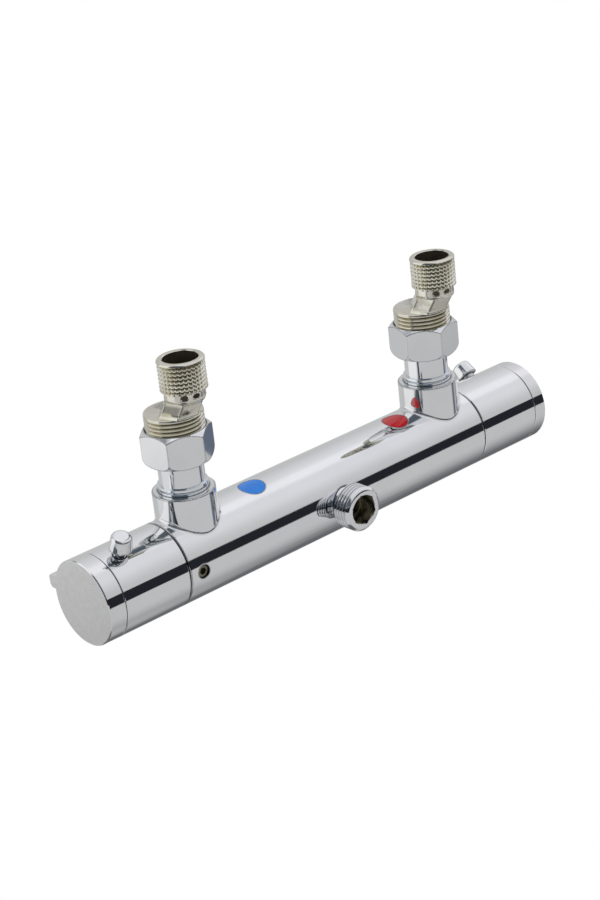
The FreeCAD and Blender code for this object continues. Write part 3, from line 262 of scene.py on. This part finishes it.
def union_nickel():
    """warm nickel over cast and cut brass, with stained clouds"""
    bright, worn, stained = (0.84, 0.83, 0.75, 1), (0.76, 0.74, 0.65, 1), (0.66, 0.62, 0.51, 1)
    material, nodes, shader = surface("union nickel")
    grain = use(nodes, GRAIN, Grain_Size=1400.0)
    haze = use(nodes, POLISH, Cloud_Size=120.0, Haze=0.8)
    warm = nodes.blend(grain["Patches"], bright, worn)
    nodes.feed(shader.inputs["Base Color"], nodes.blend(haze["Haze"], warm, stained))
    nodes.feed(shader.inputs["Roughness"], nodes.span(haze["Haze"], 0.0, 1.0, 0.08, 0.24))
    shader.inputs["Metallic"].default_value = 1.0
    raised(nodes, shader, grain["Relief"], 0.00002)
    return material


def bore_brass(name, colour, stained, grain_size=700.0):
    """unplated waterway, dark with staining"""
    material, nodes, shader = surface(name)
    grain = use(nodes, GRAIN, Grain_Size=grain_size)
    nodes.feed(shader.inputs["Base Color"], nodes.blend(grain["Patches"], colour, stained))
    nodes.feed(shader.inputs["Roughness"], nodes.span(grain["Patches"], 0.0, 1.0, 0.45, 0.7))
    shader.inputs["Metallic"].default_value = 0.6
    raised(nodes, shader, grain["Relief"], 0.00005)
    return material


def enamel(name, colour, deep):
    """a glossy lacquered mark"""
    material, nodes, shader = surface(name)
    haze = use(nodes, POLISH, Cloud_Size=200.0, Haze=0.6, Wiping=0.2)
    nodes.feed(shader.inputs["Base Color"], nodes.blend(haze["Haze"], colour, deep))
    nodes.feed(shader.inputs["Roughness"], nodes.span(haze["Haze"], 0.0, 1.0, 0.18, 0.3))
    shader.inputs["Specular IOR Level"].default_value = 0.3
    shader.inputs["Coat Weight"].default_value = 0.2
    shader.inputs["Coat Roughness"].default_value = 0.08
    raised(nodes, shader, haze["Relief"], 0.000004)
    return material


def machined(name, colour, dull, metallic, gloss, rough, grain_size=900.0, depth=0.00001):
    """a plain inner piece: turned metal, moulded plastic, rubber or ceramic"""
    material, nodes, shader = surface(name)
    grain = use(nodes, GRAIN, Grain_Size=grain_size)
    nodes.feed(shader.inputs["Base Color"], nodes.blend(grain["Patches"], colour, dull))
    nodes.feed(shader.inputs["Roughness"], nodes.span(grain["Patches"], 0.0, 1.0, gloss, rough))
    shader.inputs["Metallic"].default_value = metallic
    raised(nodes, shader, grain["Relief"], depth)
    return material


MIRROR = grey(0.88, -0.012)
MIRROR_HAZE = grey(0.82, -0.01)
TURNED = grey(0.87, -0.015)
TURNED_HAZE = grey(0.78, -0.02)
CHROME = polished_metal("polished chrome", MIRROR, MIRROR_HAZE)
BODY_CHROME = polished_metal("body chrome", MIRROR, MIRROR_HAZE, edge=0.001, joint=0.05, line=0.7)
NUT_CHROME = polished_metal("nut chrome", TURNED, TURNED_HAZE, gloss=0.05, hazy=0.12, relief=0.000006,
                            wave=0.00003, edge=0.0006, joint=0.05, line=0.75)
OUTLET_CHROME = polished_metal("outlet chrome", TURNED, TURNED_HAZE, gloss=0.05, hazy=0.12, joint=0.5)
END_CAP = end_cap_chrome()
NICKEL = union_nickel()
UNION_BORE = bore_brass("union waterway", (0.12, 0.095, 0.065, 1), (0.055, 0.045, 0.032, 1))
OUTLET_BORE = bore_brass("outlet waterway", (0.03, 0.028, 0.018, 1), (0.38, 0.34, 0.22, 1),
                         grain_size=2400.0)
BLUE = enamel("cold blue enamel", (0.01, 0.25, 0.88, 1), (0.006, 0.19, 0.76, 1))
RED = enamel("hot red enamel", (0.58, 0.006, 0.013, 1), (0.44, 0.004, 0.01, 1))
# darker copies of the nickel and the chrome: painted shade in the thread grooves
NICKEL_GROOVE_SHADE = machined("nickel with painted shade in the thread grooves", (0.52, 0.48, 0.34, 1), (0.38, 0.35, 0.23, 1),
                         1.0, 0.16, 0.32)
CHROME_GROOVE_SHADE = machined("chrome with painted shade in the thread grooves", grey(0.2, -0.03), grey(0.13, -0.03),
                         1.0, 0.12, 0.3)
LOCK_BRASS = machined("lock screw brass", (0.4, 0.38, 0.26, 1), (0.2, 0.19, 0.13, 1), 1.0, 0.25, 0.45)
INNER = {
    "brass": machined("turned brass", (0.72, 0.52, 0.25, 1), (0.6, 0.42, 0.19, 1), 1.0, 0.2, 0.35),
    "steel": machined("spring steel", grey(0.6), grey(0.5), 1.0, 0.25, 0.4),
    "copper": machined("copper cup", (0.72, 0.4, 0.26, 1), (0.5, 0.27, 0.17, 1), 1.0, 0.25, 0.4),
    "acetal": machined("white acetal", grey(0.78, 0.01), grey(0.7, 0.02), 0.0, 0.4, 0.55),
    "plastic": machined("dark cartridge plastic", grey(0.07), grey(0.05), 0.0, 0.4, 0.55),
    "rubber": machined("seal rubber", grey(0.02), grey(0.03), 0.0, 0.5, 0.7, 1500.0),
    "ceramic": machined("lapped ceramic", grey(0.82, 0.01), grey(0.76, 0.015), 0.0, 0.15, 0.25),
}


# finishes of the frame's own nodes

def dress(material, *names):
    """one material on nodes that the frame already has"""
    for name in names:
        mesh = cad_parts[name].data
        mesh.materials.clear()
        mesh.materials.append(material)


dress(CHROME, "temperature_handle", "flow_handle", "cold_inlet_tail", "hot_inlet_tail")
dress(BODY_CHROME, "valve_body")
dress(NUT_CHROME, "cold_union_nut", "hot_union_nut", "temperature_stop_button", "flow_stop_button")
dress(END_CAP, "temperature_end_cap", "flow_end_cap")
dress(BLUE, "cold_index_dot")
dress(RED, "hot_index_dot")
dress(LOCK_BRASS, "cartridge_lock_screw")
dress(INNER["brass"], "temperature_cartridge_nut", "temperature_spindle", "overload_plunger",
      "flow_spindle", "flow_cartridge_body")
dress(INNER["steel"], "return_spring", "overload_spring", "temperature_button_spring",
      "flow_button_spring", "cold_check_spring", "hot_check_spring", "temperature_handle_screw",
      "flow_handle_screw")
dress(INNER["copper"], "wax_element")
dress(INNER["acetal"], "temperature_shuttle", "temperature_carriage", "temperature_stop_ring",
      "flow_stop_ring", "temperature_stop_latch", "flow_stop_latch", "cold_check_valve_housing",
      "hot_check_valve_housing", "cold_check_poppet", "hot_check_poppet")
dress(INNER["plastic"], "temperature_cartridge_housing")
dress(INNER["rubber"], "temperature_cartridge_seals", "flow_cartridge_seal", "flow_disc_seal",
      "cold_inlet_washer", "hot_inlet_washer")
dress(INNER["ceramic"], "fixed_ceramic_disc", "moving_ceramic_disc")


# threaded pieces: rings of points skinned into one closed surface

# points in a ring
SIDES = 360
# the bar's middle line to the wall, a union's disc to its wall end, the bar's middle to an inlet
WALL_DISTANCE = 94.5
UNION_OFFSET = 10.0
INLET = 75.0
# the pipe threads, and the scales hanging from one turn of the knurled one
PITCH = 1.814
PIPE_RADIUS = 10.478
NUT_THREAD_RADIUS = 13.22
THREAD_DEPTH = 0.95
CREST_SHAPE = 0.62
RUN_OUT = 0.5
KNURLS = 30
# rings in one turn of a thread, and those at the flank under each crest and the bottom of the groove,
# which get painted shade
STEPS = 8
SHADED_GROOVE_STEPS = (3, 4, 5)
# in degrees: the middles of the two short pockets in a union's collar, and the least angle of a sharp edge
POCKETS = (50, 86)
SHARP_ANGLE = 38
# material numbers of a threaded piece: its metal, the same metal with painted shade in the thread grooves,
# and its waterway
METAL, GROOVE_SHADE, WATERWAY = 0, 1, 2


def hexagon_radius(flats, angle, sharpness, turn):
    """distance to a six-sided outline with slightly rounded corners; turn is the middle of one flat"""
    total = 0.0
    for side in range(6):
        reach = math.cos(angle - turn - math.radians(60 * side))
        if reach > 0:
            total += (reach / (flats / 2)) ** sharpness
    return total ** (-1 / sharpness)


def ring(station, radius, across=0.0):
    """one ring: radius is a number or a function of the angle, across moves its middle along local Y"""
    points = []
    for index in range(SIDES):
        angle = 2 * math.pi * index / SIDES
        reach = radius(angle) if callable(radius) else radius
        points.append((reach * math.cos(angle), across + reach * math.sin(angle), station))
    return points


def rings_at(*places, across=0.0):
    """rings from pairs of a station and a radius"""
    return [ring(station, radius, across) for station, radius in places]


def thread(start, end, radius, across=0.0, notch=0.0):
    """rings that climb one pitch a turn, as a rounded thread; notch cuts its crests into hanging scales"""
    rings = []
    steps = round((end - start) / PITCH * STEPS) + STEPS
    for step in range(steps + 1):
        crest = min(1.0, CREST_SHAPE + CREST_SHAPE * math.cos(2 * math.pi * step / STEPS))
        points = []
        for index in range(SIDES):
            angle = 2 * math.pi * index / SIDES
            wave = 0.5 - 0.5 * math.cos(KNURLS * angle)
            station = start + (step - STEPS + STEPS * index / SIDES) * PITCH / STEPS
            station += notch * (wave - 0.5)
            fade = min(1.0, max(0.0, (station - start) / RUN_OUT), max(0.0, (end - station) / RUN_OUT))
            reach = radius - fade * (THREAD_DEPTH * (1 - crest) + notch * wave ** 2 * crest)
            station = min(end, max(start, station))
            points.append((reach * math.cos(angle), across + reach * math.sin(angle), station))
        rings.append(points)
    return rings


def skin(name, sections, place, materials):
    """a closed surface over sections, each of rings, a finish and whether the rings climb

    A finish is a material number or a function of the side. place turns a point in local millimetres
    into the frame.
    """
    points = []
    faces = []
    slots = []
    rows = []
    for rings, slot, climbing in sections:
        for index, row in enumerate(rings):
            # painted shade on the flank under each crest and in the bottom of the groove
            shade = GROOVE_SHADE if climbing and index % STEPS in SHADED_GROOVE_STEPS else slot
            left = len(rings) - 1 - index
            rows.append((len(points), shade, climbing and left > 0, left))
            points += [place(point) for point in row]
    for number, (first, slot, climbing, left) in enumerate(rows):
        second = rows[(number + 1) % len(rows)][0]
        for index in range(SIDES):
            following = (index + 1) % SIDES
            low, high = first, second
            if climbing and following == 0:
                # the last column of a thread meets the first column one turn higher
                low = rows[number + min(STEPS, left)][0]
                high = rows[number + min(STEPS + 1, left)][0]
            corners = (first + index, low + following, high + following, second + index)
            if low == high:
                corners = corners[:3] if low + following != second + index else corners[:2]
            if len(set(corners)) > 2:
                faces.append(corners)
                slots.append(slot(index) if callable(slot) else slot)
    mesh = bpy.data.meshes.new(name)
    mesh.from_pydata(points, [], faces)
    for material in materials:
        mesh.materials.append(material)
    mesh.polygons.foreach_set("material_index", slots)
    mesh.validate()
    mesh.shade_smooth()
    mesh.set_sharp_from_angle(angle=math.radians(SHARP_ANGLE))
    piece = bpy.data.objects.new(name, mesh)
    bpy.context.scene.collection.objects.link(piece)
    return piece


def inlet_place(side):
    """local Z towards the wall, local Y down, from the bar's middle line"""
    def place(point):
        x, y, z = point
        return ((side * INLET + x) * MM, (z - WALL_DISTANCE) * MM, (UNION_OFFSET - y) * MM)
    return place


def outlet_place(point):
    """local Z down from the bar's middle line"""
    x, y, z = point
    return (x * MM, (-WALL_DISTANCE - y) * MM, (UNION_OFFSET - z) * MM)


def in_pocket(angle, half):
    """0 on the collar, 1 in a pocket that reaches half degrees to each side of its middle"""
    nearest = min(abs(math.degrees(angle) - middle) for middle in POCKETS)
    return max(0.0, 1 - (nearest / half) ** 4)


def union_sections():
    """a threaded disc, a slanted six-sided neck, a collar with two pockets and a knurled pipe thread"""
    disc_start, disc_top = 53.8, 67.8
    collar_start, collar_end = 76.6, 80.6
    # the neck's foot is this far off the disc's middle
    foot = 4.2
    neck_flats, neck_sharpness, neck_turn = 16.6, 36, math.radians(18)
    foot_flare, head_flare, flare_share = 1.6, 1.0, 0.14
    collar, collar_bead = 9.0, 0.1
    pocket_start, pocket_end = collar_start + 0.9, collar_end - 0.6
    pocket_depth, pocket_half, pocket_rows = 0.7, 12.5, 10
    # a side gets painted shade, the dark waterway material, from this share of its depth on
    painted_shade_from = 0.4
    crest = NUT_THREAD_RADIUS - 0.1
    knurl_depth = 0.36
    rim, rim_steps = 1.2, 6
    # the bore from the wall, the slanted waterway and the bore from the nut
    bore, bore_end = 7.8, 79.6
    channel, channel_end, channel_foot = 6.5, 64.0, foot - 1.6
    inlet_bore = 8.0

    def neck(flats):
        return lambda angle: hexagon_radius(flats, angle, neck_sharpness, neck_turn)

    def pocket(share):
        """one ring across the rounded pockets, and the finish of the band after it: painted shade deep in
        a pocket, metal elsewhere
        """
        swell = math.sin(math.pi * share)
        half = pocket_half * swell ** 0.5
        station = pocket_start + (pocket_end - pocket_start) * share

        def radius_at(angle):
            return collar - pocket_depth * swell * in_pocket(angle, half)

        def finish(index):
            # painted shade: the dark waterway material deep in a pocket
            return WATERWAY if in_pocket(2 * math.pi * index / SIDES, half) > painted_shade_from else METAL

        return [ring(station, radius_at, UNION_OFFSET)], finish, False

    neck_rings = []
    for share in (0.0, 0.03, 0.07, 0.14, 0.3, 0.5, 0.7, 0.86, 0.93, 0.97, 1.0):
        near_foot = max(0.0, 1 - share / flare_share)
        near_head = max(0.0, 1 - (1 - share) / flare_share)
        flats = neck_flats + foot_flare * near_foot ** 2 + head_flare * near_head ** 2
        station = disc_top + (collar_start - disc_top) * share
        neck_rings.append(ring(station, neck(flats), foot + (UNION_OFFSET - foot) * share))
    rim_rings = []
    for step in range(rim_steps + 1):
        angle = math.pi / 2 * step / rim_steps
        rim_rings.append(ring(WALL_DISTANCE - rim + rim * math.sin(angle),
                              PIPE_RADIUS - rim + rim * math.cos(angle), UNION_OFFSET))
    return [
        (rings_at((disc_start, inlet_bore), (disc_start, NUT_THREAD_RADIUS - 1.0)), METAL, False),
        (thread(disc_start + 0.2, disc_top - 0.8, NUT_THREAD_RADIUS), METAL, True),
        (rings_at((disc_top - 0.8, crest), (disc_top - 0.35, crest), (disc_top - 0.1, crest - 0.1),
                  (disc_top, crest - 0.35)), METAL, False),
        (neck_rings, METAL, False),
        (rings_at((collar_start, collar), (collar_start + 0.15, collar + collar_bead),
                  (collar_start + 0.7, collar + collar_bead), (collar_start + 0.8, collar),
                  (collar_start + 0.85, collar), across=UNION_OFFSET), METAL, False),
        *[pocket(step / pocket_rows) for step in range(1, pocket_rows)],
        (rings_at((collar_end - 0.5, collar), (collar_end - 0.1, collar + 0.2), across=UNION_OFFSET),
         METAL, False),
        (thread(collar_end, WALL_DISTANCE - rim, PIPE_RADIUS - 0.1, UNION_OFFSET, knurl_depth),
         METAL, True),
        (rim_rings, METAL, False),
        (rings_at((WALL_DISTANCE, bore + 0.35), (WALL_DISTANCE - 0.35, bore), across=UNION_OFFSET),
         METAL, False),
        (rings_at((WALL_DISTANCE - 0.8, bore), (bore_end, bore), (bore_end, channel), across=UNION_OFFSET)
         + [ring(channel_end, channel, channel_foot), ring(channel_end, inlet_bore)], WATERWAY, False),
    ]


def outlet_sections():
    """a plain spigot, a pipe thread with a cone at its end, and a six-sided key socket in its mouth"""
    spigot_start, thread_start, cone_start, face = 10.5, 22.6, 29.8, 31.2
    bore, spigot, face_edge = 5.5, 7.8, 9.2
    mouth_edge, mouth_depth, mouth_steps = 7.0, 1.0, 5
    key_flats, key_sharpness, key_turn, key_depth = 12.8, 60, math.radians(8), 9.0

    def key(angle):
        return hexagon_radius(key_flats, angle, key_sharpness, key_turn)

    def mouth(cone):
        return lambda angle: min(face_edge - 0.5, max(cone, key(angle)))

    chamfer = []
    for step in range(1, mouth_steps + 1):
        drop = mouth_depth * step / mouth_steps
        chamfer.append(ring(face - drop, mouth(mouth_edge - drop)))
    return [
        (rings_at((spigot_start, bore), (spigot_start, spigot), (thread_start, spigot),
                  (thread_start, PIPE_RADIUS - 0.9)), METAL, False),
        (thread(thread_start + 0.1, cone_start, PIPE_RADIUS), METAL, True),
        (rings_at((cone_start, PIPE_RADIUS - 0.1), (face - 0.1, face_edge + 0.1), (face, face_edge - 0.1),
                  (face, mouth(mouth_edge))), METAL, False),
        (chamfer + rings_at((face - key_depth, key), (face - key_depth, bore)), WATERWAY, False),
    ]


for inlet, side in (("cold", 1), ("hot", -1)):
    union = skin(inlet + "_threaded_union", union_sections(), inlet_place(side),
                 (NICKEL, NICKEL_GROOVE_SHADE, UNION_BORE))
    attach(union, inlet + "_union")
    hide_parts(inlet + "_eccentric_union")
nipple = skin("threaded_outlet", outlet_sections(), outlet_place,
              (OUTLET_CHROME, CHROME_GROOVE_SHADE, OUTLET_BORE))
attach(nipple, "bar")
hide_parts("outlet_nipple")


# studio: plain soft surroundings, with long panels set by their angle about the bar

# from the valve towards the camera, the camera's place and about its upward direction
TO_CAMERA = Vector((0.584, 0.394, -0.710))
CAMERA_PLACE = Vector((0.5877, 0.3212, -0.6953))
CAMERA_UPWARD = Vector((-0.335, 0.913, 0.231))
FOCAL_LENGTH = 87.61
SENSOR_HEIGHT = 36.0
WALLS = grey(0.57, -0.004)
# each panel's start, full, still full and end in degrees about the bar, its reach along it and its tone;
# 0 is straight down and 90 towards the wall
PANELS = (
    (15, 62, 108, 172, 2.0, (0.77, 0.765, 0.8, 1)),
    (76, 90, 100, 120, 2.0, (0.92, 0.915, 0.95, 1)),
    (-147, -126, -112, -40, 0.45, (0.14, 0.145, 0.155, 1)),
    (-12.5, -11.5, 12.5, 13.5, 2.0, (0.018, 0.019, 0.024, 1)),
)
PANEL_FADE = 0.15
DARK_ROOM = grey(0.12)
LIT_ROOM = grey(0.55)
BLACK_CARD = grey(0.03)
NARROW_CARD = (0.13, 0.15, 0.2, 1)
WIDE_CARD = (0.1, 0.12, 0.145, 1)
# the end box is dim at its middle towards the wall, and bright from its reach on
BOX_MIDDLE, BOX_REACH, BOX_DIM, BOX_BRIGHT = -0.57, 0.22, 0.05, 0.95
DIFFUSE_LIGHT = grey(0.9)
BACKDROP = grey(1.0)


def build_studio():
    """a world whose tone follows the direction: along the bar, to the wall and up"""
    world = bpy.data.worlds.new("studio")
    bpy.context.scene.world = world
    world.use_nodes = True
    nodes = Nodes(world.node_tree)
    direction = nodes.add("ShaderNodeTexCoord").outputs["Generated"]
    along, to_wall, up = nodes.add("ShaderNodeSeparateXYZ", {0: direction}).outputs
    down = nodes.math("MULTIPLY", up, -1.0)
    turn = nodes.math("MULTIPLY", nodes.math("ARCTAN2", to_wall, down), 180 / math.pi)
    colour = WALLS
    # how far a direction is from those that the bar itself mirrors to the camera's side
    aside = nodes.away(along, -TO_CAMERA.x)
    for start, full, until, end, reach, panel in PANELS:
        rising = nodes.span(turn, start, full, smooth=True)
        falling = nodes.span(turn, until, end, 1.0, 0.0, smooth=True)
        within = nodes.span(aside, reach - PANEL_FADE, reach, 1.0, 0.0, smooth=True)
        colour = nodes.blend(nodes.both(rising, falling, within), colour, panel)
    # the dark room in front of the valve, lighter towards the hot end
    room = nodes.blend(nodes.span(along, -0.1, -0.35), DARK_ROOM, LIT_ROOM)
    colour = nodes.blend(nodes.span(to_wall, -0.8, -0.92, smooth=True), colour, room)
    # a black card past the cold end, on the wall side
    card = nodes.both(nodes.span(along, 0.82, 0.87), nodes.span(to_wall, -0.04, 0.02))
    colour = nodes.blend(card, colour, BLACK_CARD)
    # a narrow dusky card past the hot end, no wider towards the wall than what upright faces mirror
    level = nodes.span(nodes.away(to_wall, -TO_CAMERA.y), 0.1, 0.06)
    card = nodes.both(level, nodes.span(along, -0.8, -0.83), nodes.span(along, -0.91, -0.88))
    colour = nodes.blend(card, colour, NARROW_CARD)
    # a wide dusky card past the cold end, for the mirrored bosses
    card = nodes.both(nodes.span(along, 0.25, 0.4), nodes.span(to_wall, 0.1, 0.25))
    colour = nodes.blend(card, colour, WIDE_CARD)
    # a soft box past the cold end, above the bar
    box = nodes.both(nodes.span(along, 0.35, 0.5, smooth=True), nodes.span(up, 0.02, 0.2, smooth=True))
    tone = nodes.span(nodes.away(to_wall, BOX_MIDDLE), 0.0, BOX_REACH, BOX_DIM, BOX_BRIGHT)
    light = nodes.add("ShaderNodeCombineColor", {0: tone, 1: tone, 2: tone}).outputs[0]
    colour = nodes.blend(box, colour, light)
    path = nodes.add("ShaderNodeLightPath").outputs
    colour = nodes.blend(path["Is Diffuse Ray"], colour, DIFFUSE_LIGHT)
    colour = nodes.blend(path["Is Camera Ray"], colour, BACKDROP)
    background = world.node_tree.nodes["Background"]
    nodes.feed(background.inputs["Color"], colour)
    background.inputs["Strength"].default_value = 1.0


def build_floor():
    """the pale floor under a valve fixed at shower height"""
    mesh = bpy.data.meshes.new("floor")
    half, level = 30.0, -1.1
    corners = [(-half, -half, level), (half, -half, level), (half, half, level), (-half, half, level)]
    mesh.from_pydata(corners, [], [(0, 1, 2, 3)])
    material, nodes, shader = surface("pale floor")
    grain = use(nodes, GRAIN, Grain_Size=60.0)
    nodes.feed(shader.inputs["Base Color"], nodes.blend(grain["Patches"], grey(0.9), grey(0.88)))
    shader.inputs["Roughness"].default_value = 0.7
    mesh.materials.append(material)
    floor = bpy.data.objects.new("floor", mesh)
    bpy.context.scene.collection.objects.link(floor)
    floor.visible_glossy = False


def build_camera():
    """a long lens at the viewing angle of the valve's picture"""
    lens = bpy.data.cameras.new("camera")
    lens.sensor_fit = "VERTICAL"
    lens.sensor_height = SENSOR_HEIGHT
    lens.lens = FOCAL_LENGTH
    lens.clip_end = 50.0
    camera = bpy.data.objects.new("camera", lens)
    bpy.context.scene.collection.objects.link(camera)
    back = TO_CAMERA.normalized()
    right = CAMERA_UPWARD.cross(back).normalized()
    up = back.cross(right)
    camera.matrix_world = Matrix((
        (right.x, up.x, back.x, CAMERA_PLACE.x),
        (right.y, up.y, back.y, CAMERA_PLACE.y),
        (right.z, up.z, back.z, CAMERA_PLACE.z),
        (0, 0, 0, 1)))
    bpy.context.scene.camera = camera


build_studio()
build_floor()
build_camera()
bpy.context.scene.view_settings.view_transform = "Standard"
